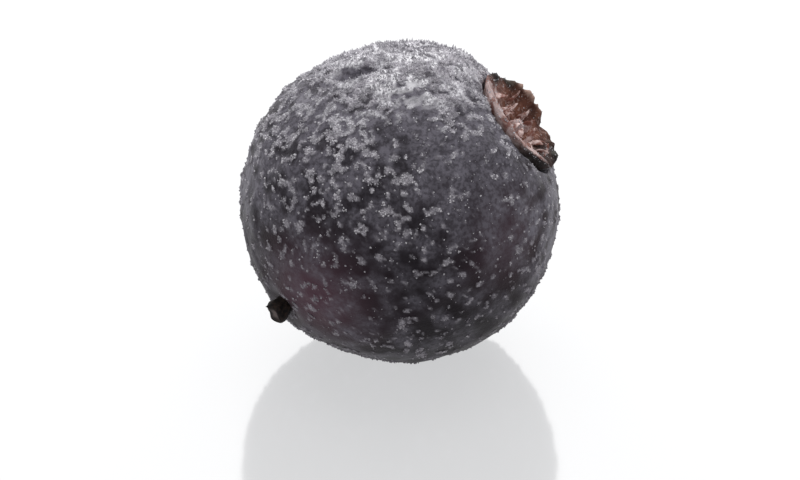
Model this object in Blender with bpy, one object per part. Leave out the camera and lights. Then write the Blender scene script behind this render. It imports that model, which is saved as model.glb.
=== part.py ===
"""A frozen blackcurrant lying on its side.

The fruit, the dried flower at its tip and the stub of its stalk are separate solids.
Units are metres and +Z is up. The origin is the middle of the flat spot that the fruit rests on.
"""
import math
from collections import namedtuple

import bmesh
import bpy
from mathutils import Vector, noise

# Driving dimensions of the fruit
FRUIT_RADIUS = 0.0050
REST_SPOT_RADIUS = 0.00125
SKIN_POINTS = 4000
CENTRE_HEIGHT = math.sqrt(FRUIT_RADIUS ** 2 - REST_SPOT_RADIUS ** 2)
ROUNDING = 1e-7
SHARP_ANGLE = 50

# Where things sit on the fruit: azimuth from +X towards +Y and elevation, in degrees
FLOWER_AT = (2, 37)
STALK_AT = (216, -25)
CREASE_AT = (183, 74)
FROST_FROM = (205, 72)

# Relief of the skin
SWELL_HEIGHT = 0.00013
SWELL_SCALE = 1.5
SWELL_SHIFT = Vector((3.1, 0.4, 7.7))
VEIN_COUNT = 10
VEIN_HEIGHT = 0.00005
VEIN_SHARPNESS = 3
FROST_HEIGHT = 0.00014
FROST_GRAIN = 0.00072
FROST_LEAST = 0.25
FROST_FADE = (-0.45, 0.75)

# Hollows pressed into the skin. Each one's length is turned from level by some degrees.
# The facing keeps a hollow off the far side of the fruit.
HOLLOW_FACING = (0, 0.5)
Hollow = namedtuple("Hollow", "place turn length width depth")
HOLLOWS = (
    Hollow(CREASE_AT, 95, 0.0017, 0.0006, 0.00028),
    Hollow((235, -54), 0, 0.0036, 0.0030, 0.00018),
    Hollow((60, 10), -80, 0.0034, 0.0022, 0.00012),
    Hollow((150, 0), 70, 0.0026, 0.0014, 0.00010),
)

# Dried flower: radii about its axis, and heights along it from the fruit's centre
SEAT_GAP = 0.0001
FLOWER_RADIUS = 0.00180
PLUG_RADIUS = 0.00165
PLUG_FLOOR = 0.00412
PLUG_BEVEL = 0.00008
COLLAR_TOP = 0.00470
SEPAL_THICKNESS = 0.00060
SEPAL_INNER_RISE = 0.9
SEPAL_CURL = 0.00025
SEPAL_CURL_GROWTH = 1.5
SEPAL_HEIGHTS = (0.00050, 0.00022, 0.00018, 0.00012, 0.00024)
SEPAL_TURN = -3
SEPAL_FULLNESS = 0.6
SEPAL_TEAR = 0.45
SEPAL_TEARS_ROUND = 5.0
CUP_FLOOR = 0.00436
CUP_ROUNDING = 0.00012
CUP_FOLDS = 15
CUP_FOLD_HEIGHT = 0.00004
STYLE_RADIUS = 0.00026
STYLE_FLARE = 0.00005
STYLE_TOP = 0.00474
FLOWER_STEPS = 60
BASIN_RADIUS = 0.0028
BASIN_DEPTH = 0.00018
SHOULDER_HEIGHT = 0.00004
SHOULDER_WIDTH = 0.00030

# Stalk stub: a short bent peg with a ragged, wider end
STUB_RADIUS = 0.00031
STUB_END_RADIUS = 0.00038
STUB_FLOOR = 0.00425
STUB_TIP = 0.00540
STUB_LEAN = 0.00008
STUB_STEPS = 14
STUB_RINGS_AT = (0, 0.3, 0.55, 0.75, 0.88, 1)
STUB_WIDENS = (0.6, 0.95)
STUB_ROUNDS_OFF = (0.9, 1)
STUB_ROUNDING = 0.35
STUB_SPLINTERS = 3
STUB_RAGGED = 0.00005
DIMPLE_RADIUS = 0.00095
DIMPLE_DEPTH = 0.00010

MATERIALS = {
    "berry_skin": ((0.075, 0.066, 0.082), 0.62),
    "dried_sepal": ((0.235, 0.105, 0.052), 0.85),
    "stalk": ((0.030, 0.020, 0.016), 0.80),
}


def clear_scene():
    """Remove the objects of the scene that the file opens with."""
    for old in list(bpy.data.objects):
        bpy.data.objects.remove(old, do_unlink=True)


def material(name):
    """A plain shaded material with the colour and roughness listed for it."""
    colour, roughness = MATERIALS[name]
    made = bpy.data.materials.new(name)
    made.use_nodes = True
    shader = made.node_tree.nodes["Principled BSDF"]
    shader.inputs["Base Color"].default_value = (*colour, 1)
    shader.inputs["Roughness"].default_value = roughness
    shader.inputs["Metallic"].default_value = 0
    return made


def pointing(place):
    """Unit vector for an azimuth and an elevation in degrees."""
    azimuth, elevation = (math.radians(angle) for angle in place)
    level = math.cos(elevation)
    return Vector((level * math.cos(azimuth), level * math.sin(azimuth), math.sin(elevation)))


def smooth(low, high, value):
    """0 below low, 1 above high, and an even curve between them."""
    share = min(max((value - low) / (high - low), 0), 1)
    return share * share * (3 - 2 * share)


def fruit_axes():
    """The fruit's own axes: its length runs out through the flower."""
    along = pointing(FLOWER_AT)
    side = along.orthogonal().normalized()
    return along, side, along.cross(side)


ALONG, SIDE, ACROSS = fruit_axes()
STALK = pointing(STALK_AT)
FROST = pointing(FROST_FROM)


def from_axis(direction, axis):
    """Distance over the skin from where an axis leaves the fruit, in metres."""
    return FRUIT_RADIUS * direction.angle(axis)


def swell(direction):
    """Broad unevenness that keeps the fruit from being a perfect ball."""
    return SWELL_HEIGHT * noise.noise(direction * SWELL_SCALE + SWELL_SHIFT)


def veins(direction):
    """Low ridges that run from the flower to the stalk."""
    turn = math.atan2(direction.dot(ACROSS), direction.dot(SIDE))
    ridge = max(math.cos(VEIN_COUNT * turn), 0) ** VEIN_SHARPNESS
    belly = 1 - direction.dot(ALONG) ** 2
    return VEIN_HEIGHT * ridge * belly


def frost(direction):
    """Frost grains, larger than life: thick where the frost lies on top and thin underneath."""
    cover = FROST_LEAST + (1 - FROST_LEAST) * smooth(*FROST_FADE, direction.dot(FROST))
    grain = noise.noise(direction * (FRUIT_RADIUS / FROST_GRAIN))
    return FROST_HEIGHT * cover * max(grain, 0)


def hollow_depth(direction, hollow):
    """Depth of one long hollow along a direction, deepest in the middle."""
    centre = pointing(hollow.place)
    level = Vector((0, 0, 1)).cross(centre).normalized()
    turn = math.radians(hollow.turn)
    lengthways = level * math.cos(turn) + centre.cross(level) * math.sin(turn)
    offset = (direction - centre) * FRUIT_RADIUS
    run = offset.dot(lengthways) / (hollow.length / 2)
    rise = offset.dot(centre.cross(lengthways)) / (hollow.width / 2)
    facing = smooth(*HOLLOW_FACING, direction.dot(centre))
    return hollow.depth * facing * math.exp(-(run * run + rise * rise))


def flower_basin(direction):
    """Shallow basin round the flower, with a raised shoulder at the edge of its seat."""
    distance = from_axis(direction, ALONG)
    basin = BASIN_DEPTH * (1 - smooth(FLOWER_RADIUS, BASIN_RADIUS, distance))
    shoulder = (distance - FLOWER_RADIUS - SHOULDER_WIDTH) / SHOULDER_WIDTH
    return SHOULDER_HEIGHT * math.exp(-shoulder * shoulder) - basin


def stalk_dimple(direction):
    """Small dimple where the stalk joins."""
    distance = from_axis(direction, STALK)
    return -DIMPLE_DEPTH * (1 - smooth(STUB_RADIUS, DIMPLE_RADIUS, distance))


def skin_radius(direction):
    """Distance from the fruit's centre to its skin along a unit direction."""
    radius = FRUIT_RADIUS + swell(direction) + veins(direction) + frost(direction)
    radius += flower_basin(direction) + stalk_dimple(direction)
    return radius - sum(hollow_depth(direction, hollow) for hollow in HOLLOWS)


def even_directions(count):
    """Unit vectors spread evenly over a sphere along a spiral."""
    golden_turn = math.pi * (3 - math.sqrt(5))
    for index in range(count):
        height = 1 - (2 * index + 1) / count
        level = math.sqrt(1 - height * height)
        turn = golden_turn * index
        yield Vector((level * math.cos(turn), level * math.sin(turn), height))


def finished_object(name, shape, material_name):
    """Turn a bmesh into a smooth-shaded object with its material."""
    bmesh.ops.recalc_face_normals(shape, faces=shape.faces)
    mesh = bpy.data.meshes.new(name)
    shape.to_mesh(mesh)
    shape.free()
    mesh.shade_smooth()
    mesh.set_sharp_from_angle(angle=math.radians(SHARP_ANGLE))
    mesh.materials.append(material(material_name))
    made = bpy.data.objects.new(name, mesh)
    bpy.context.collection.objects.link(made)
    return made


def press_rest_spot(shape):
    """Press the lowest part of the skin flat, where the fruit's weight rests on it."""
    floor = -CENTRE_HEIGHT
    for vertex in shape.verts:
        vertex.co.z = max(vertex.co.z, floor)
    pressed = [face for face in shape.faces if max(v.co.z for v in face.verts) < floor + ROUNDING]
    flat = bmesh.ops.dissolve_faces(shape, faces=pressed)["region"]
    bmesh.ops.triangulate(shape, faces=flat)


def make_berry():
    """The fruit's skin as one closed body, with its rest spot pressed flat."""
    shape = bmesh.new()
    for direction in even_directions(SKIN_POINTS):
        shape.verts.new(direction)
    bmesh.ops.convex_hull(shape, input=shape.verts)
    for vertex in shape.verts:
        direction = vertex.co.normalized()
        vertex.co = direction * skin_radius(direction)
    press_rest_spot(shape)
    berry = finished_object("berry", shape, "berry_skin")
    berry.location.z = CENTRE_HEIGHT
    return berry


def loft(rings, start, end):
    """Closed body through rings of points, with a fan of faces at either end."""
    shape = bmesh.new()
    loops = [[shape.verts.new(point) for point in ring] for ring in rings]
    steps = len(loops[0])
    for lower, upper in zip(loops, loops[1:]):
        for step in range(steps):
            after = (step + 1) % steps
            shape.faces.new((lower[step], lower[after], upper[after], upper[step]))
    for centre, loop in ((start, loops[0]), (end, loops[-1])):
        middle = shape.verts.new(centre)
        for step in range(steps):
            shape.faces.new((middle, loop[step], loop[(step + 1) % steps]))
    return shape


def sepal_height(angle):
    """How far the torn rim stands over the collar at an angle about the flower's axis."""
    count = len(SEPAL_HEIGHTS)
    place = (angle - math.radians(SEPAL_TURN)) / math.tau * count + 0.5
    sepal = math.floor(place)
    from_middle = place - sepal - 0.5
    whole = SEPAL_HEIGHTS[sepal % count] * math.cos(math.pi * from_middle) ** SEPAL_FULLNESS
    around = Vector((math.cos(angle), math.sin(angle), 0)) * SEPAL_TEARS_ROUND
    return whole * (1 - SEPAL_TEAR * abs(noise.noise(around)) * 2)


def flower_ring(outside, rise):
    """One ring of the sepals' outer or inner wall, at a share of the rim's height."""
    tallest = max(SEPAL_HEIGHTS)
    ring = []
    for step in range(FLOWER_STEPS):
        angle = math.tau * (step + 0.5) / FLOWER_STEPS
        height = sepal_height(angle) * rise
        radius = FLOWER_RADIUS - SEPAL_CURL * (height / tallest) ** SEPAL_CURL_GROWTH
        if not outside:
            radius -= SEPAL_THICKNESS
            height *= SEPAL_INNER_RISE
        ring.append((radius * math.cos(angle), radius * math.sin(angle), COLLAR_TOP + height))
    return ring


def level_ring(radius, height, fold=0.0):
    """One ring of the flower at a height, which may rise and fall in radial folds."""
    ring = []
    for step in range(FLOWER_STEPS):
        angle = math.tau * (step + 0.5) / FLOWER_STEPS
        level = height + fold * math.cos(CUP_FOLDS * angle)
        ring.append((radius * math.cos(angle), radius * math.sin(angle), level))
    return ring


def make_dried_flower():
    """Dried ring with five uneven sepals round a shallow cup, and the style's stump in the cup."""
    cup_radius = FLOWER_RADIUS - SEPAL_THICKNESS
    mid_cup = (cup_radius + STYLE_RADIUS) / 2
    rings = [
        level_ring(PLUG_RADIUS - 2 * PLUG_BEVEL, PLUG_FLOOR),
        level_ring(PLUG_RADIUS, PLUG_FLOOR + PLUG_BEVEL),
        level_ring(FLOWER_RADIUS, (PLUG_FLOOR + COLLAR_TOP) / 2),
        flower_ring(True, 0),
        flower_ring(True, 0.5),
        flower_ring(True, 1),
        flower_ring(False, 1),
        flower_ring(False, 0.4),
        level_ring(cup_radius - CUP_ROUNDING, CUP_FLOOR + CUP_ROUNDING, CUP_FOLD_HEIGHT),
        level_ring(mid_cup, CUP_FLOOR, CUP_FOLD_HEIGHT),
        level_ring(STYLE_RADIUS + STYLE_FLARE, CUP_FLOOR + STYLE_FLARE),
        level_ring(STYLE_RADIUS, STYLE_TOP - STYLE_FLARE),
    ]
    shape = loft(rings, (0, 0, PLUG_FLOOR), (0, 0, STYLE_TOP))
    return finished_object("dried_flower", shape, "dried_sepal")


def make_stalk_stub():
    """Short peg that leans a little and widens to its ragged, broken end."""
    rings = []
    for share in STUB_RINGS_AT:
        height = STUB_FLOOR + (STUB_TIP - STUB_FLOOR) * share
        widen = smooth(*STUB_WIDENS, share) - STUB_ROUNDING * smooth(*STUB_ROUNDS_OFF, share)
        radius = STUB_RADIUS + (STUB_END_RADIUS - STUB_RADIUS) * widen
        lean = STUB_LEAN * share * share
        ring = []
        for step in range(STUB_STEPS):
            angle = math.tau * step / STUB_STEPS
            ragged = STUB_RAGGED * share ** 4 * math.cos(STUB_SPLINTERS * angle)
            ring.append((radius * math.cos(angle) + lean, radius * math.sin(angle), height + ragged))
        rings.append(ring)
    shape = loft(rings, (0, 0, STUB_FLOOR), (STUB_LEAN, 0, STUB_TIP))
    return finished_object("stalk_stub", shape, "stalk")


def set_in_fruit(piece, berry, place, seat_radius, seat_floor, sides):
    """Point a piece out of the fruit at its place, and cut its seat into the skin."""
    turn = pointing(place).to_track_quat("Z", "Y")
    piece.parent = berry
    piece.rotation_euler = turn.to_euler()

    seat = bmesh.new()
    bmesh.ops.create_cone(
        seat, cap_ends=True, segments=sides, radius1=seat_radius, radius2=seat_radius,
        depth=FRUIT_RADIUS
    )
    bmesh.ops.translate(seat, verts=seat.verts, vec=(0, 0, seat_floor + FRUIT_RADIUS / 2))
    mesh = bpy.data.meshes.new(piece.name + "_seat")
    seat.to_mesh(mesh)
    seat.free()
    cutter = bpy.data.objects.new(mesh.name, mesh)
    bpy.context.collection.objects.link(cutter)
    cutter.parent = berry
    cutter.rotation_euler = turn.to_euler()
    cutter.hide_render = True
    cutter.display_type = "WIRE"

    cut = berry.modifiers.new(mesh.name, "BOOLEAN")
    cut.operation = "DIFFERENCE"
    cut.solver = "EXACT"
    cut.object = cutter


def build():
    """Make the three pieces and seat the flower and the stub in the fruit."""
    clear_scene()
    berry = make_berry()
    flower = make_dried_flower()
    stub = make_stalk_stub()
    set_in_fruit(
        flower, berry, FLOWER_AT, FLOWER_RADIUS + SEAT_GAP, PLUG_FLOOR - SEAT_GAP, FLOWER_STEPS
    )
    set_in_fruit(stub, berry, STALK_AT, STUB_RADIUS + SEAT_GAP, STUB_FLOOR - SEAT_GAP, STUB_STEPS)


build()
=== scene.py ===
"""The looks of one frozen blackcurrant, lying on a plain pale floor.

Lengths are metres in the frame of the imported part, unless a comment says otherwise. A place on the
fruit is an azimuth and an elevation in degrees, seen from the fruit's centre.
"""
import math
import random

import bmesh
import bpy
import numpy as np
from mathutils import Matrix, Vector, noise


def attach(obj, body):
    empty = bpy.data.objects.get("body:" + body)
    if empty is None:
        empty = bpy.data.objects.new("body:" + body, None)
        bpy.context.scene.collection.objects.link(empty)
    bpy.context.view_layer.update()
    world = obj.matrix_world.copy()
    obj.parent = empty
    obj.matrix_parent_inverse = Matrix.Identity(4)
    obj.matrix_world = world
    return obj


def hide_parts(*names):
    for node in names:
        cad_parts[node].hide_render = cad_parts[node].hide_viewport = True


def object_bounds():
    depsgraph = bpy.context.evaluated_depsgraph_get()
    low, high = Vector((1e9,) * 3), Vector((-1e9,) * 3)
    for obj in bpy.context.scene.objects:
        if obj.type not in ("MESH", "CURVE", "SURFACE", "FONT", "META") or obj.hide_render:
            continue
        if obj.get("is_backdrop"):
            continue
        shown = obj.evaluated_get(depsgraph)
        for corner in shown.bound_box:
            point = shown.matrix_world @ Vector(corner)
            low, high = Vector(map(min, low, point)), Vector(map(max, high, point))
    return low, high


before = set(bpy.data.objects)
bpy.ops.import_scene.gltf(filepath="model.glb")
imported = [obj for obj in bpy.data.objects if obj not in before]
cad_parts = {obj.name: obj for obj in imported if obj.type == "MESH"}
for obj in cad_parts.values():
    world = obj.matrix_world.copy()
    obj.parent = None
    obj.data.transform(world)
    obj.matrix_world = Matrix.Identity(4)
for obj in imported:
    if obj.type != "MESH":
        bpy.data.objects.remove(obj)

CAD_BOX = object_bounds()
MM = 0.001

# Seeds. Without the first, noise_vector gives another crumple in each run
CRUMPLE_SEED = 1
SCRAP_SEED = 5
CRYSTAL_SEED = 11
noise.seed_set(CRUMPLE_SEED)

# The fruit's form, with the same values as the part's source
FRUIT_RADIUS = 0.0050
REST_SPOT_RADIUS = 0.00125
CENTRE_HEIGHT = math.sqrt(FRUIT_RADIUS ** 2 - REST_SPOT_RADIUS ** 2)
CENTRE = Vector((0, 0, CENTRE_HEIGHT))
FLOWER_AT = (2, 37)
STALK_AT = (216, -25)
CREASE_AT = (183, 74)
FROST_FROM = (205, 72)
SWELL_HEIGHT = 0.00013
SWELL_SCALE = 1.5
SWELL_SHIFT = Vector((3.1, 0.4, 7.7))
VEIN_COUNT = 10
VEIN_HEIGHT = 0.00005
VEIN_SHARPNESS = 3
FROST_HEIGHT = 0.00014
FROST_GRAIN = 0.00072
FROST_LEAST = 0.25
FROST_FADE = (-0.45, 0.75)
HOLLOW_FACING = (0, 0.5)
# Each hollow's place, its turn in degrees, its length, width and depth. The first is the crease
HOLLOWS = (
    (CREASE_AT, 95, 0.0017, 0.0006, 0.00028),
    ((235, -54), 0, 0.0036, 0.0030, 0.00018),
    ((60, 10), -80, 0.0034, 0.0022, 0.00012),
    ((150, 0), 70, 0.0026, 0.0014, 0.00010),
)
FLOWER_RADIUS = 0.00180
PLUG_FLOOR = 0.00412
COLLAR_TOP = 0.00470
SEPAL_HEIGHTS = (0.00050, 0.00022, 0.00018, 0.00012, 0.00024)
SEPAL_TURN = -3
SEPAL_FULLNESS = 0.6
SEPAL_TEAR = 0.45
SEPAL_TEARS_ROUND = 5.0
SEPAL_CURL = 0.00025
SEPAL_CURL_GROWTH = 1.5
CUP_FLOOR = 0.00436
CUP_FOLDS = 15
CUP_FOLD_HEIGHT = 0.00004
STYLE_RADIUS = 0.00026
STYLE_TOP = 0.00474
BASIN_RADIUS = 0.0028
BASIN_DEPTH = 0.00018
SHOULDER_HEIGHT = 0.00004
SHOULDER_WIDTH = 0.00030
STUB_RADIUS = 0.00031
STUB_END_RADIUS = 0.00038
STUB_FLOOR = 0.00425
STUB_TIP = 0.00540
STUB_LEAN = 0.00008
DIMPLE_RADIUS = 0.00095
DIMPLE_DEPTH = 0.00010

# Skin: the squares along a side of its mesh, the seat pressed in under the flower, and its sheen
SKIN_SQUARES = 118
SEAT_DEPTH = 0.00085
SEAT_EDGE = 0.00012
SKIN_SHEEN = 0.05

# Spots on the skin are a place, a spread in radians and a strength. These are red ones
RED_PATCHES = (
    ((-124, -11), 0.34, 1.0),
    ((-45, 9), 0.32, 0.50),
    ((20, -20), 0.50, 0.6),
    ((120, -10), 0.60, 0.7),
)

# Rime: the share of skin under its grains, by height, and how that drifts
RIME_LOW = 0.068
RIME_TOP = 0.56
RIME_FROM = -0.1
RIME_GROWTH = 5
RIME_MOST = 0.9
RIME_SPOTS_AND_PAINTED_LIGHT = (
    ((-142, 38), 0.42, 1.35),
    ((-97, 30), 0.34, 1.3),
    ((-17, 66), 0.30, 0.9),
    # Painted backlight on the top limb
    ((92, 60), 0.50, 1.3),
    ((-64, 40), 0.40, -0.75),
    # Painted shadow beside the flower's end: rime taken away
    ((-21, 21), 0.15, -1.0),
)
DRIFT_SIZE = 0.0013
DRIFT_SHIFT = (5.2, 1.3, 0.4)
DRIFT_STRENGTH = 1.3
DRIFT_LEAST = 0.15

# Grains of rime: the sizes of two layers of noise, and how sharp and high the grains are
GRAIN_SIZE = 0.00027
GRAIN_SHIFT = (1.7, 8.1, 3.3)
GRAIN_FINER = 0.00014
GRAIN_FINER_SHIFT = (6.4, 2.2, 9.1)
GRAIN_FINER_SHARE = 0.6
GRAIN_EDGE = 0.09
GRAIN_HEIGHT = 0.000030

# Film of frost between the grains: its strength by height, and its limits
FILM_LOW = 0.104
FILM_TOP = 1.0
FILM_GROWTH = 1.3
FILM_LEAST = 0.36
FILM_MOST = 1.30
FILM_MOST_LOW = 0.6
FILM_MOST_GROWTH = 3
FILM_MOST_AT_SIDES = 0.96
FILM_WHITE_FROM = (0.35, 0.70)

# How the film drifts and mottles, where it is stronger, and the one spot where it is even
FILM_DRIFT = 4.1
FILM_DRIFT_SIZE = 0.0007
FILM_DRIFT_SHIFT = (0.3, 7.1, 2.6)
FILM_SETTLES = 0.68
FILM_MOTTLE = 1.2
FILM_MOTTLE_SIZE = 0.0003
FILM_MOTTLE_SHIFT = (9.2, 4.4, 0.7)
FILM_SPOTS_AND_PAINTED_LIGHT = (
    # Painted rim light on the right limb
    ((-10, 6), 0.36, 1.20),
    # Painted rim light on the left limb
    ((180, 8), 0.32, 1.00),
    ((-58, 34), 0.36, 0.10),
    # Painted backlight on the top limb
    ((92, 60), 0.45, 0.60),
    ((-90, -34), 0.38, 0.05),
    # Painted shadow beside the flower's end
    ((-21, 21), 0.14, -0.55),
)
FILM_SPOT_PATCHES = 0.4
EVEN_SPOT_AT = (-58, 38)
EVEN_SPOT_SPREAD = 0.48
EVEN_SPOT_SHARPNESS = 4
EVEN_SPOT_PATCHES = 0.25

# Crease on top, darkened as painted shade: how bare of rime it is, and the strength of its even film
CREASE_SHADE_BARE = 0.8
CREASE_SHADE_FILM = 0.78

# Frost crystals: half sizes, how they lie, and where, by height, their painted shade turns paler and
# they turn taller
CRYSTAL_COUNT = 20500
CRYSTAL_SIZE = (0.000012, 0.000048)
CRYSTAL_SPOKE = (0.65, 1.3)
CRYSTAL_STRAY = 0.014
CRYSTAL_JITTER = 0.006
CRYSTAL_TILT = 0.35
CRYSTAL_CLEAR_OF_FLOOR = 0.00020
CRYSTAL_SHADE_TO_LIT = (-0.4, 0.95)
CRYSTAL_RISE = 2.2
CRYSTAL_RISE_FROM = (0.6, 0.95)
CRYSTAL_FACES = (
    (0, 1, 4), (1, 2, 4), (2, 3, 4), (3, 0, 4), (1, 0, 5), (2, 1, 5), (3, 2, 5), (0, 3, 5)
)
SPARK_COUNT = 36
SPARK_CRYSTALS = 6
SPARK_SPREAD = 0.008
FLOWER_CRYSTALS = 420
FLOWER_CRYSTAL_SCALE = 0.7
FLOWER_CRYSTALS_BELOW = 0.0001

# Dried flower: the fineness of its mesh, and the crumple of its tissue in two layers of noise
FLOWER_STEPS = 200
FLOWER_ANGLES = [math.tau * (step + 0.5) / FLOWER_STEPS for step in range(FLOWER_STEPS)]
FLOWER_RISES = 9
CRUMPLE = 0.00007
CRUMPLE_SIZE = 0.00042
CRUMPLE_FINER = 2.3
CRUMPLE_FINER_SHARE = 0.5
CRUMPLE_AT_FOOT = 0.35
CRUMPLE_IN_CUP = 0.8

# Dried flower: the plug in its seat, its wall and rim, and its cup and style
PLUG_NARROWS = 0.98
PLUG_LIFT = 0.0001
WALL_TOP = 0.00012
WALL_FOOT = 0.00052
RIM_HEIGHT = 1.02
WALL_INSIDE = (0.98, 0.05)
CUP_RISE = 0.00022
CUP_SLOPE = 3
CUP_FOLD_SWAY = 3
CUP_SWAYS = 2
STYLE_FOOT = 1.2
STYLE_TAPER = 0.35
STYLE_FROM = 0.2
STYLE_RINGS = 6

# Where the flower has come away from its seat: an angle about its axis and a spread, in degrees
SLIT_AT = 212
SLIT_SPREAD = 44
SLIT_GAP = 0.00027
# Band on the wall's outside, by the gap, painted black as shadow: how far out and how high it reaches
SLIT_SHADOW_OUTSIDE = (0.00136, 0.00146)
SLIT_SHADOW_HEIGHT = (0.00006, 0.00012)

# Shades of the flower, by facing towards one angle about its axis in degrees, and by height
DARK_SIDE = -24
DARK_FACING = (-0.45, 0.0)
DARK_HEIGHT = (0.00002, 0.00012)
BROWN_FACING = (0.55, 0.92)
BROWN_STRENGTH = 0.8
DARK_END = 256
DARK_END_SPREAD = 34
DARK_END_FROM = (0.0006, 0.0010)
DARK_END_STRENGTH = 0.85
SHADE_SHARPNESS = 4
TAN_FACING = (-0.7, 0.5)
TUFT_HEIGHT = (0.00030, 0.00042)

# Scraps of dry petal and stamen in the flower's cup: their mesh, size, place and stance
SCRAP_COUNT = 26
SCRAP_ALONG = 12
SCRAP_ACROSS = 4
SCRAP_THICKNESS = 0.00003
SCRAP_LENGTH = (0.00045, 0.00085)
SCRAP_WIDTH = (0.00018, 0.00042)
SCRAP_OUT = (0.45, 0.95)
SCRAP_CLEAR_OF_WALL = 0.0004
SCRAP_SUNK = 0.00002
SCRAP_LEAN = (-0.5, 0.9)
SCRAP_CURL = (0.6, 2.2)
SCRAP_TWIST = 0.9

# Scraps: how their width tapers and varies, how they cup from side to side, and their crumple
SCRAP_TAPER = 3
SCRAP_FULLNESS = 0.75
SCRAP_UNEVEN = 0.5
SCRAP_UNEVEN_SIZE = 0.00012
SCRAP_LEAST_HALF = 0.00001
SCRAP_CUP = 0.25
SCRAP_CRUMPLE = 0.00003
SCRAP_CRUMPLE_SIZE = 0.00016

# Stalk's stub: its mesh, its widening and rounded end, and its ribs, splinters and roughness
STUB_STEPS = 40
STUB_RINGS = 16
STUB_FROM = 0.25
STUB_START = 0.0003
STUB_END_DIP = 0.00006
STUB_WIDENS = (0.6, 0.95)
STUB_ROUNDS_OFF = (0.9, 1)
STUB_ROUNDING = 0.35
STUB_RIBS = 7
STUB_RIB_SHARE = 0.04
STUB_RIB_TWIST = 2
STUB_SPLINTERS = 3
STUB_RAGGED = 0.00005
STUB_RAGGED_GROWTH = 4
STUB_ROUGHNESS = 0.00005
STUB_ROUGH_SIZE = 0.00022

# Colours of the skin, of the veil of frost over it, and of the rime on that
SKIN_DARK = (0.0070, 0.0045, 0.0072)
SKIN_VEIN = (0.016, 0.011, 0.016)
SKIN_RED = (0.078, 0.038, 0.054)
VEIL_THIN = (0.153, 0.143, 0.172)
VEIL_THICKEST = (0.54, 0.53, 0.56)
RIME_THIN = (0.38, 0.36, 0.40)
RIME_THICK = (0.66, 0.65, 0.69)
RIME_THICKEST = (0.90, 0.89, 0.92)

# Strengths of the film between which the rime turns thick, and rime and veil turn thickest
FILM_THICK = (0.7, 1.05)
FILM_THICKEST = (0.95, 1.3)

# Colours that the ice, the dry flower, its scraps and the stub vary between
# The ice's shaded and lit copies: painted shade on crystals lower down, paler ice on top
ICE_SHADED = ((0.13, 0.115, 0.135), (0.34, 0.32, 0.35))
ICE_LIT = ((0.33, 0.32, 0.35), (0.70, 0.68, 0.72))
FLOWER_BROWN = ((0.075, 0.023, 0.014), (0.170, 0.065, 0.042))
FLOWER_TAN = ((0.230, 0.112, 0.096), (0.56, 0.43, 0.42))
FLOWER_BLACK = ((0.010, 0.005, 0.005), (0.040, 0.038, 0.030))
FLOWER_FIBRE = (0.46, 0.33, 0.30)
FLOWER_TUFT = (0.36, 0.24, 0.20)
PETAL = ((0.200, 0.076, 0.056), (0.68, 0.53, 0.51))
PETAL_FIBRE = (0.30, 0.14, 0.11)
BARK = ((0.005, 0.0035, 0.0035), (0.030, 0.018, 0.014))
BROKEN_BARK = (0.115, 0.090, 0.085)

# Floor and lights
FLOOR_RADIUS = 0.9
FLOOR_SEGMENTS = 96
FLOOR_COLOUR = (0.13, 0.13, 0.13, 1)
FLOOR_ROUGHNESS = 0.09
FLOOR_IOR = 1.5
FLOOR_GLOW = 0.59
FLOOR_GLOW_COLOUR = (0.98, 0.985, 1.0, 1)
BACKDROP_SIZE = (0.9, 0.45)
BACKDROP_AT = (0, 0.55, 0.30)
BACKDROP_POWER = 3.5
OVERHEAD_SIZE = (0.5, 0.35)
OVERHEAD_AT = (0.02, 0.10, 0.42)
OVERHEAD_POWER = 0.9
SURROUNDINGS = 0.55

# Camera, with its elevation in degrees and its lens in millimetres
CAMERA_ELEVATION = 29
CAMERA_DISTANCE = 0.30
CAMERA_LENS = 432
CAMERA_NEAREST = 0.01
AIM_BELOW_CENTRE = 0.0011


def pointing(place):
    """Unit vector for an azimuth and an elevation in degrees."""
    azimuth, elevation = (math.radians(angle) for angle in place)
    level = math.cos(elevation)
    return Vector((level * math.cos(azimuth), level * math.sin(azimuth), math.sin(elevation)))


def smooth(low, high, value):
    """0 below low, 1 above high, and an even curve between them."""
    share = np.clip((value - low) / (high - low), 0, 1)
    return share * share * (3 - 2 * share)


ALONG = pointing(FLOWER_AT)
SIDE = ALONG.orthogonal().normalized()
ACROSS = ALONG.cross(SIDE)
STALK = pointing(STALK_AT)
FROST = pointing(FROST_FROM)


def from_axis(directions, axis):
    """Distance over the skin from where an axis leaves the fruit, for each direction."""
    return FRUIT_RADIUS * np.arccos(np.clip(directions @ np.array(axis), -1, 1))


def noise_over(directions, size, shift=(0, 0, 0)):
    """Smooth noise over the fruit, with features about this size, for each direction."""
    places = directions * (FRUIT_RADIUS / size) + np.array(shift)
    return np.array([noise.noise(Vector(place)) for place in places])


def vein_ridge(directions):
    """1 on the crest of each vein that runs from the flower to the stalk, and 0 between them."""
    turn = np.arctan2(directions @ np.array(ACROSS), directions @ np.array(SIDE))
    ridge = np.maximum(np.cos(VEIN_COUNT * turn), 0) ** VEIN_SHARPNESS
    return ridge * (1 - (directions @ np.array(ALONG)) ** 2)


def hollow_depth(directions, hollows=HOLLOWS):
    """Depth of the long hollows along each direction."""
    total = np.zeros(len(directions))
    for place, turn, length, width, depth in hollows:
        centre = pointing(place)
        level = Vector((0, 0, 1)).cross(centre).normalized()
        angle = math.radians(turn)
        lengthways = level * math.cos(angle) + centre.cross(level) * math.sin(angle)
        offset = (directions - np.array(centre)) * FRUIT_RADIUS
        run = offset @ np.array(lengthways) / (length / 2)
        rise = offset @ np.array(centre.cross(lengthways)) / (width / 2)
        facing = smooth(*HOLLOW_FACING, directions @ np.array(centre))
        total += depth * facing * np.exp(-(run * run + rise * rise))
    return total


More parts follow.
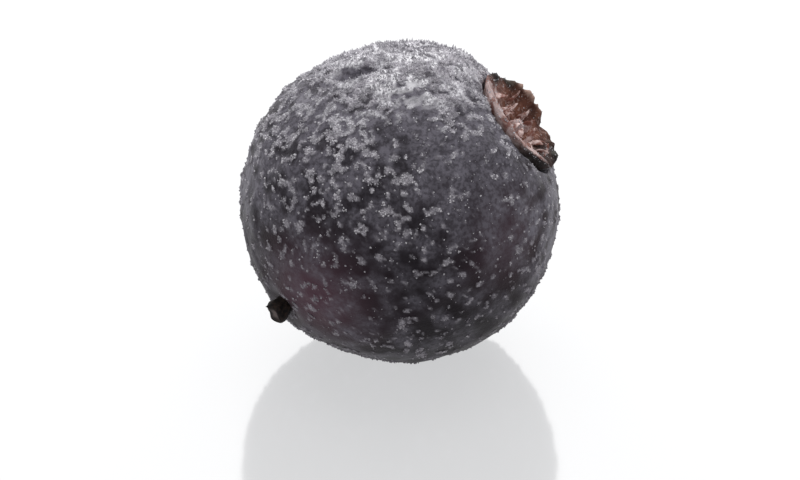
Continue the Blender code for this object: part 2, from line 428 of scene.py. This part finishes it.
def skin_radius(directions):
    """Distance from the fruit's centre to its skin, as in the part's source."""
    swell = noise_over(directions, FRUIT_RADIUS / SWELL_SCALE, SWELL_SHIFT)
    radius = FRUIT_RADIUS + SWELL_HEIGHT * swell
    radius += VEIN_HEIGHT * vein_ridge(directions)
    cover = FROST_LEAST + (1 - FROST_LEAST) * smooth(*FROST_FADE, directions @ np.array(FROST))
    radius += FROST_HEIGHT * cover * np.maximum(noise_over(directions, FROST_GRAIN), 0)
    to_flower = from_axis(directions, ALONG)
    radius -= BASIN_DEPTH * (1 - smooth(FLOWER_RADIUS, BASIN_RADIUS, to_flower))
    shoulder = (to_flower - FLOWER_RADIUS - SHOULDER_WIDTH) / SHOULDER_WIDTH
    radius += SHOULDER_HEIGHT * np.exp(-shoulder * shoulder)
    to_stalk = from_axis(directions, STALK)
    radius -= DIMPLE_DEPTH * (1 - smooth(STUB_RADIUS, DIMPLE_RADIUS, to_stalk))
    return radius - hollow_depth(directions)


def in_crease_shade(directions):
    """1 at the bottom of the crease on top, where the film is painted thin and even as shade, and 0
    outside it.
    """
    crease = HOLLOWS[0]
    return hollow_depth(directions, [crease]) / crease[-1]


def add_spots(total, directions, spots):
    """The total for each direction, with soft round spots added to it."""
    for place, spread, strength in spots:
        angle = from_axis(directions, pointing(place)) / FRUIT_RADIUS
        total += strength * np.exp(-(angle / spread) ** 2)
    return total


def rime_share(directions):
    """Share of the skin that lies under grains of rime: little at the sides, most on top."""
    height = np.maximum((directions[:, 2] - RIME_FROM) / (1 - RIME_FROM), 0)
    drift = 1 + DRIFT_STRENGTH * noise_over(directions, DRIFT_SIZE, DRIFT_SHIFT)
    # Some spots are painted light: a backlight on the top limb, and a shadow beside the flower's end
    drift = np.maximum(add_spots(drift, directions, RIME_SPOTS_AND_PAINTED_LIGHT), DRIFT_LEAST)
    share = (RIME_LOW + RIME_TOP * height ** RIME_GROWTH) * drift
    # Painted shade: rime is taken out of the crease
    return np.minimum(share, RIME_MOST) * (1 - CREASE_SHADE_BARE * in_crease_shade(directions))


def rime_grains(directions):
    """1 on grains of rime and 0 on bare skin, with as much of each as the rime's share asks."""
    mixed = noise_over(directions, GRAIN_SIZE, GRAIN_SHIFT)
    mixed += GRAIN_FINER_SHARE * noise_over(directions, GRAIN_FINER, GRAIN_FINER_SHIFT)
    order = np.empty(len(mixed))
    order[np.argsort(mixed)] = np.linspace(0, 1, len(mixed))
    bare = 1 - rime_share(directions)
    return smooth(bare - GRAIN_EDGE, bare + GRAIN_EDGE, order)


def film_patches(directions, height):
    """How much the film thickens or thins in patches, less on top and in the even spot."""
    from_even = from_axis(directions, pointing(EVEN_SPOT_AT)) / FRUIT_RADIUS / EVEN_SPOT_SPREAD
    uneven = 1 - np.exp(-from_even ** EVEN_SPOT_SHARPNESS)
    drift = (1 - FILM_SETTLES * np.sqrt(height)) * FILM_DRIFT
    drift *= noise_over(directions, FILM_DRIFT_SIZE, FILM_DRIFT_SHIFT)
    mottle = FILM_MOTTLE * noise_over(directions, FILM_MOTTLE_SIZE, FILM_MOTTLE_SHIFT)
    return (EVEN_SPOT_PATCHES + (1 - EVEN_SPOT_PATCHES) * uneven) * (drift + mottle)


def frost_film(directions):
    """Strength of the thin haze of frost between the grains."""
    height = np.maximum(directions[:, 2], 0) ** FILM_GROWTH
    # Some spots are painted light: rim light on both side limbs, a backlight on the top limb, and a
    # shadow beside the flower's end
    spots = add_spots(np.zeros(len(directions)), directions, FILM_SPOTS_AND_PAINTED_LIGHT)
    patches = film_patches(directions, height)
    film = (FILM_LOW + (FILM_TOP - FILM_LOW) * height) * (1 + patches)
    film += spots * (1 + FILM_SPOT_PATCHES * patches)
    most = FILM_MOST_LOW + (FILM_MOST - FILM_MOST_LOW) * height ** FILM_MOST_GROWTH
    most += np.maximum(spots, 0)
    on_top = smooth(*FILM_WHITE_FROM, directions[:, 2])
    most = np.minimum(most, FILM_MOST_AT_SIDES + (FILM_MOST - FILM_MOST_AT_SIDES) * on_top)
    film = np.clip(film, FILM_LEAST * height, most)
    # Painted shade: the crease's film is set to one strength
    return film + (CREASE_SHADE_FILM - film) * in_crease_shade(directions)


def redness(directions):
    """How far the skin shows red instead of blue black, in soft patches."""
    return np.minimum(add_spots(np.zeros(len(directions)), directions, RED_PATCHES), 1)


def cube_sphere(squares):
    """A bmesh of a unit sphere made of even squares."""
    shape = bmesh.new()
    bmesh.ops.create_cube(shape, size=2)
    bmesh.ops.subdivide_edges(shape, edges=shape.edges, cuts=squares - 1, use_grid_fill=True)
    for vertex in shape.verts:
        spread = Vector([math.tan(value * math.pi / 4) for value in vertex.co])
        vertex.co = spread.normalized()
    return shape


def piece(name, shape, material):
    """An object of the part, from a bmesh, that rides on its one body."""
    mesh = bpy.data.meshes.new(name)
    shape.to_mesh(mesh)
    shape.free()
    mesh.shade_smooth()
    mesh.materials.append(material)
    made = bpy.data.objects.new(name, mesh)
    bpy.context.scene.collection.objects.link(made)
    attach(made, "root")
    return made


def point_values(mesh, name, values):
    """Store one number for each point of a mesh, for its material to read."""
    layer = mesh.attributes.new(name, "FLOAT", "POINT")
    layer.data.foreach_set("value", np.asarray(values, np.float32))


def make_skin(material):
    """The fruit's skin. Also returns each point's direction, place and share of rime grains."""
    shape = cube_sphere(SKIN_SQUARES)
    directions = np.array([vertex.co.normalized() for vertex in shape.verts])
    grains = rime_grains(directions)
    radius = skin_radius(directions) + GRAIN_HEIGHT * grains
    seat = (FLOWER_RADIUS - SEAT_EDGE, FLOWER_RADIUS + SEAT_EDGE / 2)
    radius -= SEAT_DEPTH * (1 - smooth(*seat, from_axis(directions, ALONG)))
    places = np.array(CENTRE) + directions * radius[:, None]
    places[:, 2] = np.maximum(places[:, 2], 0)
    for vertex, place in zip(shape.verts, places):
        vertex.co = place
    skin = piece("skin", shape, material)
    point_values(skin.data, "grains", grains)
    point_values(skin.data, "film", frost_film(directions))
    point_values(skin.data, "vein", vein_ridge(directions))
    point_values(skin.data, "red", redness(directions))
    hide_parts("berry")
    return directions, places, grains


def units(vectors):
    """The vectors, each made one unit long."""
    return vectors / np.linalg.norm(vectors, axis=1, keepdims=True)


def crystal_corners(draw, places, normals, sizes):
    """The six corners of one small irregular crystal at each place, taller on top."""
    count = len(places)
    upwards = units(normals + CRYSTAL_TILT * draw.normal(size=(count, 3)))
    sideways = units(np.cross(upwards, draw.normal(size=(count, 3))))
    onwards = np.cross(upwards, sideways)
    spokes = np.stack([sideways, onwards, -sideways, -onwards, upwards, -upwards], axis=1)
    lengths = sizes[:, None] * draw.uniform(*CRYSTAL_SPOKE, (count, 6))
    height = (places[:, 2] - CENTRE_HEIGHT) / FRUIT_RADIUS
    lengths[:, 4] *= 1 + CRYSTAL_RISE * smooth(*CRYSTAL_RISE_FROM, height) * draw.random(count)
    return places[:, None, :] + spokes * lengths[:, :, None]


def crystal_sizes(draw, count):
    """Half sizes for crystals: most are small and a few are large."""
    smallest, largest = CRYSTAL_SIZE
    return smallest + (largest - smallest) * draw.random(count) ** 2


def skin_crystals(draw, directions, places, grains):
    """Crystals on the grains of rime, some strays between, and a few loose clumps."""
    wanted = grains + CRYSTAL_STRAY
    wanted[from_axis(directions, ALONG) < FLOWER_RADIUS + SEAT_EDGE] = 0
    wanted[places[:, 2] < CRYSTAL_CLEAR_OF_FLOOR] = 0
    chosen = draw.choice(len(places), CRYSTAL_COUNT, p=wanted / wanted.sum())
    anywhere = (wanted > 0) / (wanted > 0).sum()
    sparks = np.repeat(draw.choice(len(places), SPARK_COUNT, p=anywhere), SPARK_CRYSTALS)
    spread = np.repeat((CRYSTAL_JITTER, SPARK_SPREAD), (len(chosen), len(sparks)))
    chosen = np.concatenate([chosen, sparks])
    moved = units(directions[chosen] + spread[:, None] * draw.normal(size=(len(chosen), 3)))
    reach = np.linalg.norm(places[chosen] - np.array(CENTRE), axis=1)
    at = np.array(CENTRE) + moved * reach[:, None]
    return crystal_corners(draw, at, moved, crystal_sizes(draw, len(chosen)))


def flower_crystals(draw, flower):
    """A dusting of crystals over the dried flower, but none on its plug or down in its cup."""
    vertices = flower.data.vertices
    places = np.array([vertex.co for vertex in vertices])
    normals = np.array([vertex.normal for vertex in vertices])
    collar = COLLAR_TOP + np.array(CENTRE) @ np.array(ALONG)
    outside = places @ np.array(ALONG) > collar - FLOWER_CRYSTALS_BELOW
    chosen = draw.choice(np.nonzero(outside)[0], FLOWER_CRYSTALS)
    sizes = FLOWER_CRYSTAL_SCALE * crystal_sizes(draw, FLOWER_CRYSTALS)
    return crystal_corners(draw, places[chosen], normals[chosen], sizes)


def make_crystals(corners, material):
    """One piece of all the separate frost crystals."""
    corners = np.concatenate(corners)
    starts = 6 * np.arange(len(corners))
    faces = (starts[:, None, None] + np.array(CRYSTAL_FACES)).reshape(-1, 3)
    mesh = bpy.data.meshes.new("frost_crystals")
    mesh.from_pydata(corners.reshape(-1, 3).tolist(), [], faces.tolist())
    mesh.materials.append(material)
    # Painted shade: crystals lower on the fruit get the darker colours
    height = (corners.mean(axis=1)[:, 2] - CENTRE_HEIGHT) / FRUIT_RADIUS
    point_values(mesh, "pale", np.repeat(smooth(*CRYSTAL_SHADE_TO_LIT, height), 6))
    made = bpy.data.objects.new("frost_crystals", mesh)
    bpy.context.scene.collection.objects.link(made)
    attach(made, "root")


def loft(rings, start, end):
    """A closed bmesh through rings of points, with a fan of faces at either end."""
    shape = bmesh.new()
    loops = [[shape.verts.new(point) for point in ring] for ring in rings]
    steps = len(loops[0])
    for lower, upper in zip(loops, loops[1:]):
        for step in range(steps):
            after = (step + 1) % steps
            shape.faces.new((lower[step], lower[after], upper[after], upper[step]))
    for centre, loop in ((start, loops[0]), (end, loops[-1])):
        middle = shape.verts.new(centre)
        for step in range(steps):
            shape.faces.new((middle, loop[step], loop[(step + 1) % steps]))
    bmesh.ops.recalc_face_normals(shape, faces=shape.faces)
    return shape


def out_of_fruit(place):
    """Turns a point given about an axis of the fruit into its place in the frame."""
    turn = pointing(place).to_track_quat("Z", "Y")
    return lambda point: CENTRE + turn @ Vector(point)


def degrees_apart(angle, other):
    """The turn from one angle to another in degrees, between -180 and 180."""
    return (angle - other + 180) % 360 - 180


def slit_gap(angle):
    """How far the wall draws in from its seat, where the dry flower has come away from it."""
    return SLIT_GAP * math.exp(-(degrees_apart(math.degrees(angle), SLIT_AT) / SLIT_SPREAD) ** 2)


def sepal_height(angle):
    """How far the torn rim stands over the collar at an angle about the flower's axis."""
    count = len(SEPAL_HEIGHTS)
    place = (angle - math.radians(SEPAL_TURN)) / math.tau * count + 0.5
    sepal = math.floor(place)
    from_middle = place - sepal - 0.5
    whole = SEPAL_HEIGHTS[sepal % count] * math.cos(math.pi * from_middle) ** SEPAL_FULLNESS
    around = Vector((math.cos(angle), math.sin(angle), 0)) * SEPAL_TEARS_ROUND
    return whole * (1 - SEPAL_TEAR * abs(noise.noise(around)) * 2)


def crumpled(point, amount):
    """A point of the dried flower, moved by the crumple of its dry tissue."""
    spot = Vector(point) / CRUMPLE_SIZE
    finer = CRUMPLE_FINER_SHARE * noise.noise_vector(spot * CRUMPLE_FINER)
    return Vector(point) + (noise.noise_vector(spot) + finer) * amount


def wall_ring(share, thickness):
    """One ring up the sepals, at a share of the rim's height and a depth in from their outside."""
    tallest = max(SEPAL_HEIGHTS)
    crumple = CRUMPLE * (CRUMPLE_AT_FOOT + (1 - CRUMPLE_AT_FOOT) * share)
    ring = []
    for angle in FLOWER_ANGLES:
        height = sepal_height(angle) * share
        radius = FLOWER_RADIUS - SEPAL_CURL * (height / tallest) ** SEPAL_CURL_GROWTH - thickness
        radius -= slit_gap(angle)
        point = (radius * math.cos(angle), radius * math.sin(angle), COLLAR_TOP + height)
        ring.append(crumpled(point, crumple))
    return ring


def level_ring(radius, height, folds=0.0):
    """One ring of the flower at a height, which may rise and fall in uneven folds."""
    ring = []
    for angle in FLOWER_ANGLES:
        sway = CUP_FOLD_SWAY * math.sin(CUP_SWAYS * angle)
        level = height + folds * math.cos(CUP_FOLDS * angle + sway)
        point = (radius * math.cos(angle), radius * math.sin(angle), level)
        ring.append(crumpled(point, CRUMPLE * CRUMPLE_IN_CUP))
    return ring


def flower_rings():
    """Rings up the outside of the torn sepals, over the rim, into the cup and up the style."""
    rings = [level_ring(FLOWER_RADIUS * PLUG_NARROWS - SLIT_GAP, PLUG_FLOOR + PLUG_LIFT)]
    rings.append(level_ring(FLOWER_RADIUS - SLIT_GAP, (PLUG_FLOOR + COLLAR_TOP) / 2))
    rings += [wall_ring(share, 0) for share in np.linspace(0, 1, FLOWER_RISES)]
    rings.append(wall_ring(RIM_HEIGHT, WALL_TOP / 2))
    for share in np.linspace(*WALL_INSIDE, FLOWER_RISES):
        rings.append(wall_ring(share, WALL_TOP + (WALL_FOOT - WALL_TOP) * (1 - share)))
    outer = FLOWER_RADIUS - WALL_FOOT - SLIT_GAP
    inner = STYLE_RADIUS * STYLE_FOOT
    for share in np.linspace(0, 1, FLOWER_RISES):
        height = CUP_FLOOR + CUP_RISE * (1 - share) ** CUP_SLOPE
        folds = CUP_FOLD_HEIGHT * math.sin(math.pi * share)
        rings.append(level_ring(outer + (inner - outer) * share, height, folds))
    for share in np.linspace(STYLE_FROM, 1, STYLE_RINGS):
        height = CUP_FLOOR + (STYLE_TOP - CUP_FLOOR) * share
        rings.append(level_ring(STYLE_RADIUS * (1 - STYLE_TAPER * share), height))
    return rings


def flower_shades(points):
    """Where the dry flower is tan, its rim and end black, its outside by the gap black as painted
    shadow, its tuft pale.
    """
    back = pointing(FLOWER_AT).to_track_quat("Z", "Y").inverted()
    local = np.array([back @ (point - CENTRE) for point in points])
    angle = np.degrees(np.arctan2(local[:, 1], local[:, 0]))
    facing = np.cos(np.radians(angle - DARK_SIDE))
    out = np.hypot(local[:, 0], local[:, 1])
    height = local[:, 2] - COLLAR_TOP
    rim = smooth(*DARK_HEIGHT, height) * smooth(*DARK_FACING, facing)
    rim *= 1 - BROWN_STRENGTH * smooth(*BROWN_FACING, facing)
    # Painted shadow: the wall's outside by the gap is painted black
    slit_shadow = smooth(*SLIT_SHADOW_OUTSIDE, out) * (1 - smooth(*SLIT_SHADOW_HEIGHT, height))
    slit_shadow *= np.exp(-(degrees_apart(angle, SLIT_AT) / SLIT_SPREAD) ** SHADE_SHARPNESS)
    end = np.exp(-(degrees_apart(angle, DARK_END) / DARK_END_SPREAD) ** SHADE_SHARPNESS)
    end = end * DARK_END_STRENGTH * smooth(*DARK_END_FROM, out)
    # The dark value holds the black rim and end, and the painted shadow by the gap
    yield "dark", np.maximum(np.maximum(rim, slit_shadow), end)
    yield "tan", 1 - smooth(*TAN_FACING, facing)
    yield "tuft", smooth(*TUFT_HEIGHT, height)


def make_flower(material):
    """The dried flower's collar, torn sepals and cup."""
    place = out_of_fruit(FLOWER_AT)
    rings = [[place(point) for point in ring] for ring in flower_rings()]
    shape = loft(rings, place((0, 0, PLUG_FLOOR)), place((0, 0, STYLE_TOP)))
    flower = piece("flower_remains", shape, material)
    for name, values in flower_shades([vertex.co for vertex in flower.data.vertices]):
        point_values(flower.data, name, values)
    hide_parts("dried_flower")
    return flower


def scrap(draw, place):
    """Points of one thin curled strip that stands in the cup."""
    angle = draw.uniform(0, math.tau)
    start_radius = draw.uniform(*SCRAP_OUT) * (FLOWER_RADIUS - SCRAP_CLEAR_OF_WALL)
    length = draw.uniform(*SCRAP_LENGTH)
    width = draw.uniform(*SCRAP_WIDTH)
    heading = -draw.uniform(*SCRAP_LEAN)
    curl = draw.uniform(*SCRAP_CURL) * draw.choice((-1, 1))
    twist = draw.uniform(-SCRAP_TWIST, SCRAP_TWIST)
    outward = Vector((math.cos(angle), math.sin(angle), 0))
    sideways = Vector((-math.sin(angle), math.cos(angle), 0))
    upward = Vector((0, 0, 1))
    at = outward * start_radius + upward * (CUP_FLOOR - SCRAP_SUNK)
    points = []
    for step in range(SCRAP_ALONG + 1):
        share = step / SCRAP_ALONG
        forward = outward * math.sin(heading) + upward * math.cos(heading)
        normal = outward * math.cos(heading) - upward * math.sin(heading)
        uneven = SCRAP_FULLNESS + SCRAP_UNEVEN * noise.noise(at / SCRAP_UNEVEN_SIZE)
        half = width / 2 * (1 - share ** SCRAP_TAPER) * uneven + SCRAP_LEAST_HALF
        across = sideways * math.cos(twist * share) + normal * math.sin(twist * share)
        for column in range(SCRAP_ACROSS + 1):
            side = column / SCRAP_ACROSS * 2 - 1
            point = at + across * (half * side) + normal * (SCRAP_CUP * half * side * side)
            crumple = noise.noise_vector(point / SCRAP_CRUMPLE_SIZE) * SCRAP_CRUMPLE
            points.append(place(point + crumple))
        at = at + forward * (length / SCRAP_ALONG)
        heading += curl / SCRAP_ALONG
    return points


def make_scraps(material):
    """Thin curled scraps of dry petal and stamen in the flower's cup."""
    draw = random.Random(SCRAP_SEED)
    place = out_of_fruit(FLOWER_AT)
    shape = bmesh.new()
    across = SCRAP_ACROSS + 1
    for _ in range(SCRAP_COUNT):
        points = [shape.verts.new(point) for point in scrap(draw, place)]
        for step in range(SCRAP_ALONG):
            for column in range(SCRAP_ACROSS):
                low = step * across + column
                corners = (low, low + 1, low + across + 1, low + across)
                shape.faces.new([points[corner] for corner in corners])
    scraps = piece("petal_scraps", shape, material)
    thicken = scraps.modifiers.new("thicken", "SOLIDIFY")
    thicken.thickness = SCRAP_THICKNESS
    thicken.offset = 0


def stub_ring(share):
    """One ring of the stub, at a share of the way from its floor to its tip."""
    height = STUB_FLOOR + (STUB_TIP - STUB_FLOOR) * share
    widen = smooth(*STUB_WIDENS, share) - STUB_ROUNDING * smooth(*STUB_ROUNDS_OFF, share)
    radius = STUB_RADIUS + (STUB_END_RADIUS - STUB_RADIUS) * widen
    ring = []
    for step in range(STUB_STEPS):
        angle = math.tau * step / STUB_STEPS
        ribs = math.cos(STUB_RIBS * angle + STUB_RIB_TWIST * share)
        ribbed = radius * (1 + STUB_RIB_SHARE * ribs)
        splinters = math.cos(STUB_SPLINTERS * angle)
        point = Vector((
            ribbed * math.cos(angle) + STUB_LEAN * share * share,
            ribbed * math.sin(angle),
            height + STUB_RAGGED * share ** STUB_RAGGED_GROWTH * splinters,
        ))
        ring.append(point + noise.noise_vector(point / STUB_ROUGH_SIZE) * STUB_ROUGHNESS)
    return ring


def make_stub(material):
    """The stalk's stub: fibrous, leaning a little, with a ragged end."""
    place = out_of_fruit(STALK_AT)
    shares = np.linspace(STUB_FROM, 1, STUB_RINGS)
    rings = [[place(point) for point in stub_ring(share)] for share in shares]
    start = place((0, 0, STUB_FLOOR + STUB_START))
    end = place((STUB_LEAN, 0, STUB_TIP - STUB_END_DIP))
    stub = piece("stub", loft(rings, start, end), material)
    broken = np.zeros(len(stub.data.vertices))
    broken[-1] = 1
    point_values(stub.data, "broken", broken)
    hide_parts("stalk_stub")


class Shader:
    """A material's node tree, with short calls for the nodes used here."""

    def __init__(self, name):
        self.material = bpy.data.materials.new(name)
        self.material.use_nodes = True
        self.tree = self.material.node_tree
        self.surface = self.tree.nodes["Principled BSDF"]
        place = self.tree.nodes.new("ShaderNodeTexCoord").outputs["Object"]
        scale = self.tree.nodes.new("ShaderNodeVectorMath")
        scale.operation = "SCALE"
        scale.inputs["Scale"].default_value = 1 / MM
        self.link(place, scale.inputs[0])
        self.millimetres = scale.outputs[0]

    def link(self, source, socket):
        """Set an input from a node's output, or to a plain value."""
        if isinstance(source, bpy.types.NodeSocket):
            self.tree.links.new(source, socket)
        else:
            socket.default_value = source

    def cloud(self, size, detail=3, roughness=0.55, shift=0.0):
        """Soft noise whose features are about this size in millimetres."""
        node = self.tree.nodes.new("ShaderNodeTexNoise")
        moved = self.tree.nodes.new("ShaderNodeVectorMath")
        moved.inputs[1].default_value = (shift, shift, shift)
        self.link(self.millimetres, moved.inputs[0])
        self.link(moved.outputs[0], node.inputs["Vector"])
        node.inputs["Scale"].default_value = 1 / size
        node.inputs["Detail"].default_value = detail
        node.inputs["Roughness"].default_value = roughness
        return node.outputs["Fac"]

    def stored(self, name):
        """A number stored on the mesh."""
        node = self.tree.nodes.new("ShaderNodeAttribute")
        node.attribute_name = name
        return node.outputs["Fac"]

    def product(self, first, second):
        """One value times another."""
        node = self.tree.nodes.new("ShaderNodeMath")
        node.operation = "MULTIPLY"
        self.link(first, node.inputs[0])
        self.link(second, node.inputs[1])
        return node.outputs[0]

    def between(self, value, span, ends=(0.0, 1.0)):
        """Rises smoothly from one end to the other as the value crosses the span."""
        node = self.tree.nodes.new("ShaderNodeMapRange")
        node.interpolation_type = "SMOOTHSTEP"
        self.link(value, node.inputs["Value"])
        for name, number in zip(("From Min", "From Max", "To Min", "To Max"), (*span, *ends)):
            node.inputs[name].default_value = number
        return node.outputs["Result"]

    def blend(self, share, first, second):
        """A colour between two colours."""
        node = self.tree.nodes.new("ShaderNodeMix")
        node.data_type = "RGBA"
        self.link(share, node.inputs[0])
        for colour, socket in ((first, node.inputs[6]), (second, node.inputs[7])):
            self.link((*colour, 1) if isinstance(colour, tuple) else colour, socket)
        return node.outputs[2]

    def bump(self, height, depth):
        """Fine relief, of this depth in metres."""
        node = self.tree.nodes.new("ShaderNodeBump")
        node.inputs["Distance"].default_value = depth
        self.link(height, node.inputs["Height"])
        self.link(node.outputs["Normal"], self.surface.inputs["Normal"])

    def finish(self, colour, roughness, specular=0.5):
        """Set the surface and return the material."""
        self.link(colour, self.surface.inputs["Base Color"])
        self.link(roughness, self.surface.inputs["Roughness"])
        self.surface.inputs["Specular IOR Level"].default_value = specular
        return self.material


def skin_material():
    """Blue-black skin, red in places, under a haze of frost with paler grains in it."""
    shader = Shader("frosted_skin")
    grains = shader.stored("grains")
    fine = shader.cloud(size=0.07, roughness=0.6, shift=3.0)
    mottle = shader.cloud(size=0.14, detail=4, roughness=0.6, shift=9.0)
    on_vein = shader.between(shader.stored("vein"), span=(0.2, 1.0), ends=(0.0, 0.6))
    dark = shader.blend(on_vein, SKIN_DARK, SKIN_VEIN)
    skin = shader.blend(shader.stored("red"), dark, SKIN_RED)
    film = shader.stored("film")
    haze = shader.product(film, shader.between(mottle, span=(0.38, 0.62), ends=(0.60, 1.35)))
    thickest = shader.between(film, FILM_THICKEST)
    veil = shader.blend(thickest, VEIL_THIN, VEIL_THICKEST)
    hazed = shader.blend(haze, skin, veil)
    thick = shader.blend(shader.between(film, FILM_THICK), RIME_THIN, RIME_THICK)
    rime = shader.blend(thickest, thick, RIME_THICKEST)
    frosted = shader.product(grains, shader.between(fine, span=(0.36, 0.62), ends=(0.35, 0.95)))
    colour = shader.blend(frosted, hazed, rime)
    roughness = shader.between(grains, span=(0.0, 0.8), ends=(0.50, 0.80))
    shader.bump(fine, depth=0.00002)
    shader.surface.inputs["Sheen Weight"].default_value = SKIN_SHEEN
    return shader.finish(colour, roughness, specular=0.10)


def crystal_material():
    """Small ice crystals: darker lower down as painted shade, paler on top, and glossy enough to
    sparkle.
    """
    shader = Shader("frost_ice")
    shade = shader.between(shader.cloud(size=0.25, detail=1), span=(0.35, 0.65))
    low = shader.blend(shade, *ICE_SHADED)
    high = shader.blend(shade, *ICE_LIT)
    # Painted shade: lower crystals take the shaded colours, higher ones the lit colours
    colour = shader.blend(shader.stored("pale"), low, high)
    return shader.finish(colour, roughness=0.35, specular=0.4)


def flower_material():
    """Dry papery tissue: red brown and tan, black along the rim and the end, pale at the tuft."""
    shader = Shader("dried_flower")
    blotch = shader.cloud(size=0.50)
    olive = shader.cloud(size=0.90, detail=2, shift=5.0)
    fibre = shader.cloud(size=0.10, shift=2.0)
    brown = shader.blend(shader.between(blotch, span=(0.40, 0.60)), *FLOWER_BROWN)
    tan = shader.blend(shader.between(blotch, span=(0.42, 0.58)), *FLOWER_TAN)
    base = shader.blend(shader.stored("tan"), brown, tan)
    fibres = shader.between(fibre, span=(0.52, 0.70), ends=(0.0, 0.55))
    fibred = shader.blend(fibres, base, FLOWER_FIBRE)
    black = shader.blend(shader.between(olive, span=(0.50, 0.62)), *FLOWER_BLACK)
    # The black also paints the shadow on the wall's outside by the gap
    shaded = shader.blend(shader.stored("dark"), fibred, black)
    colour = shader.blend(shader.stored("tuft"), shaded, FLOWER_TUFT)
    shader.bump(fibre, depth=0.00004)
    return shader.finish(colour, roughness=0.8, specular=0.3)


def scrap_material():
    """Thin dry petals: pinkish tan, with red-brown blotches and fibres."""
    shader = Shader("dry_petal")
    blotch = shader.cloud(size=0.28, shift=4.0)
    fibre = shader.cloud(size=0.06, shift=1.0)
    base = shader.blend(shader.between(blotch, span=(0.40, 0.58)), *PETAL)
    fibres = shader.between(fibre, span=(0.5, 0.7), ends=(0.0, 0.4))
    colour = shader.blend(fibres, base, PETAL_FIBRE)
    shader.bump(fibre, depth=0.00002)
    return shader.finish(colour, roughness=0.75, specular=0.3)


def stub_material():
    """Dark, dry stalk, paler in the middle of its broken end."""
    shader = Shader("stalk_bark")
    fibre = shader.cloud(size=0.12)
    bark = shader.blend(shader.between(fibre, span=(0.4, 0.7)), *BARK)
    broken = shader.between(shader.stored("broken"), span=(0.25, 0.8))
    colour = shader.blend(broken, bark, BROKEN_BARK)
    shader.bump(fibre, depth=0.00003)
    return shader.finish(colour, roughness=0.75, specular=0.2)


def make_floor():
    """Pale glossy surface that the berry lies on, lit from below like a light table."""
    shape = bmesh.new()
    bmesh.ops.create_circle(shape, cap_ends=True, radius=FLOOR_RADIUS, segments=FLOOR_SEGMENTS)
    mesh = bpy.data.meshes.new("floor")
    shape.to_mesh(mesh)
    shape.free()
    floor = bpy.data.objects.new("floor", mesh)
    bpy.context.scene.collection.objects.link(floor)
    shader = Shader("pale_floor")
    shader.surface.inputs["IOR"].default_value = FLOOR_IOR
    shader.surface.inputs["Emission Color"].default_value = FLOOR_GLOW_COLOUR
    shader.surface.inputs["Emission Strength"].default_value = FLOOR_GLOW
    mesh.materials.append(shader.finish(FLOOR_COLOUR, FLOOR_ROUGHNESS))
    floor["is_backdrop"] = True


def make_light(name, size, power, place):
    """A large soft light that faces the berry."""
    data = bpy.data.lights.new(name, "AREA")
    data.shape = "RECTANGLE"
    data.size, data.size_y = size
    data.energy = power
    light = bpy.data.objects.new(name, data)
    light.location = place
    light.rotation_euler = (Vector(place) - CENTRE).to_track_quat("Z", "Y").to_euler()
    bpy.context.scene.collection.objects.link(light)


def make_lights():
    """Even surroundings, a bright backdrop that the floor mirrors, and a soft light overhead."""
    world = bpy.data.worlds.new("studio")
    bpy.context.scene.world = world
    world.use_nodes = True
    background = world.node_tree.nodes["Background"]
    background.inputs["Color"].default_value = (1, 1, 1, 1)
    background.inputs["Strength"].default_value = SURROUNDINGS
    make_light("backdrop", BACKDROP_SIZE, BACKDROP_POWER, BACKDROP_AT)
    make_light("overhead", OVERHEAD_SIZE, OVERHEAD_POWER, OVERHEAD_AT)


def make_camera():
    """A long lens at the height that the photograph was taken from."""
    data = bpy.data.cameras.new("camera")
    data.lens = CAMERA_LENS
    data.clip_start = CAMERA_NEAREST
    camera = bpy.data.objects.new("camera", data)
    towards = pointing((-90, CAMERA_ELEVATION))
    upwards = pointing((90, 90 - CAMERA_ELEVATION))
    aim = CENTRE - upwards * AIM_BELOW_CENTRE
    camera.location = aim + towards * CAMERA_DISTANCE
    camera.rotation_euler = towards.to_track_quat("Z", "Y").to_euler()
    bpy.context.scene.collection.objects.link(camera)
    bpy.context.scene.camera = camera


def write_sizes():
    """Put the CAD model's box and the finished model's into plain numbers."""
    boxes = {"cad": CAD_BOX, "visual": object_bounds()}
    plain = {name: [[float(value) for value in corner] for corner in box] for name, box in boxes.items()}


make_camera()
make_lights()
make_floor()
skin_points = make_skin(skin_material())
flower = make_flower(flower_material())
make_scraps(scrap_material())
make_stub(stub_material())
crystal_draw = np.random.default_rng(CRYSTAL_SEED)
make_crystals(
    [skin_crystals(crystal_draw, *skin_points), flower_crystals(crystal_draw, flower)],
    crystal_material(),
)
bpy.context.scene.view_settings.view_transform = "Standard"
write_sizes()
